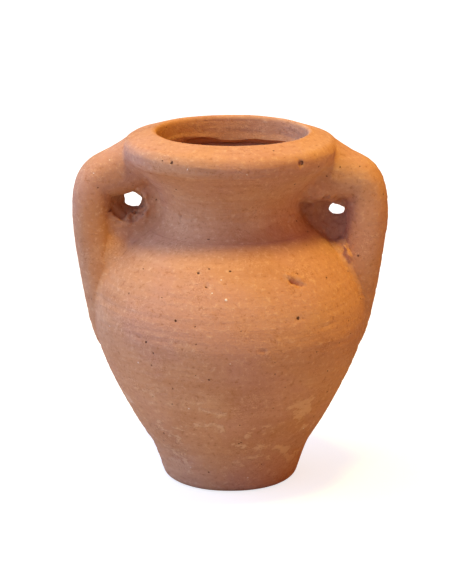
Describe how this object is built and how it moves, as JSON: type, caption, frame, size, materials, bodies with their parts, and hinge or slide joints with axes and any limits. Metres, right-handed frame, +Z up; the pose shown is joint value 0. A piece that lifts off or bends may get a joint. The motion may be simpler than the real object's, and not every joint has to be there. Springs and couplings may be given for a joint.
{
  "type": "amphora",
  "caption": "Small squat amphora in unglazed orange earthenware, with a thick rolled rim, a narrow neck, a round belly tapering to a flat foot, and two strap handles from rim to belly.",
  "frame": {"origin": "centre of the foot's flat face, on the surface that the pot stands on", "axes": "+Z up along the pot's axis, X through the two handles, -Y is the front"},
  "size_m": [0.1068, 0.093, 0.12],
  "materials": {
    "thrown_clay": "matte unglazed earthenware, wheel-thrown",
    "handle_clay": "matte unglazed earthenware, pulled by hand",
    "luting_clay": "matte unglazed earthenware, smeared slip"
  },
  "bodies": {
    "root": {"foot": "thrown_clay", "belly": "thrown_clay", "neck": "thrown_clay", "rim": "thrown_clay", "left_handle": "handle_clay", "right_handle": "handle_clay", "left_handle_top_luting": "luting_clay", "left_handle_root_luting": "luting_clay", "right_handle_top_luting": "luting_clay", "right_handle_root_luting": "luting_clay"}
  },
  "joints": []
}
